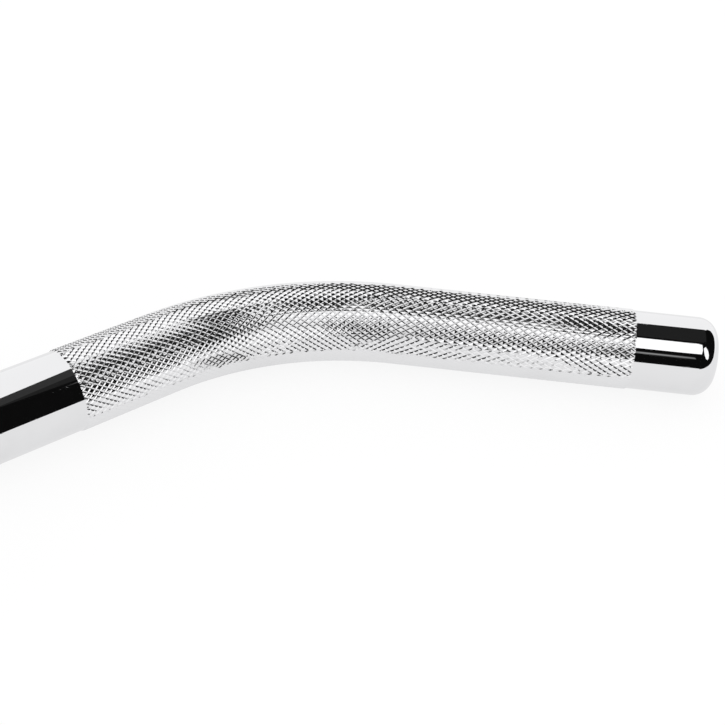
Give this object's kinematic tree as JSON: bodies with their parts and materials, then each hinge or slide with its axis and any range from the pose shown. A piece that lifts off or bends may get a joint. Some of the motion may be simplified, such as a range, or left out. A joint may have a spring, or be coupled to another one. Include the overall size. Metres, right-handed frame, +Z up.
{
  "type": "triceps v-bar",
  "caption": "Bent round steel v-bar for a cable machine, knurled on each grip bend, with smooth rounded ends and a ball-bearing swivel eye at the point of the V.",
  "frame": {"origin": "middle of the footprint, on the surface that the bar lies on", "axes": "+X along the handles, +Z up and square to the plane of the bent bar, -Y from the point of the V out through the swivel eye"},
  "size_m": [0.495, 0.2018, 0.0261],
  "materials": {
    "chrome": "polished chrome plate, knurled on the grips",
    "dark_steel": "black oxide",
    "bearing_steel": "ground",
    "zinc": "zinc plated",
    "bronze": "sintered bronze",
    "brass": "stamped",
    "rubber": "matt black"
  },
  "bodies": {
    "bar_frame": {"bar": "chrome", "swivel_housing": "chrome", "gland_cap": "chrome", "grub_screw": "dark_steel", "stem_bush": "bronze", "tail_bush": "bronze", "dust_seal": "rubber", "fixed_race": "bearing_steel"},
    "eye_stem": {"swivel_eye": "chrome", "turning_race": "bearing_steel", "nut_washer": "zinc", "castle_nut": "zinc", "split_pin": "zinc"},
    "cage_and_balls": {"ball_cage": "brass", "ball_1": "bearing_steel", "ball_2": "bearing_steel", "ball_3": "bearing_steel", "ball_4": "bearing_steel", "ball_5": "bearing_steel", "ball_6": "bearing_steel", "ball_7": "bearing_steel", "ball_8": "bearing_steel"}
  },
  "joints": [
    {"name": "swivel_spin", "type": "hinge", "parent": "bar_frame", "child": "eye_stem", "pos_m": [0, -0.03501, 0.01305], "axis": [0, -1, 0], "continuous": true},
    {"name": "cage_spin", "type": "hinge", "parent": "bar_frame", "child": "cage_and_balls", "pos_m": [0, -0.03501, 0.01305], "axis": [0, -1, 0], "continuous": true}
  ],
  "couplings": [
    {"joint": "cage_spin", "follows": "swivel_spin", "ratio": 0.5}
  ]
}
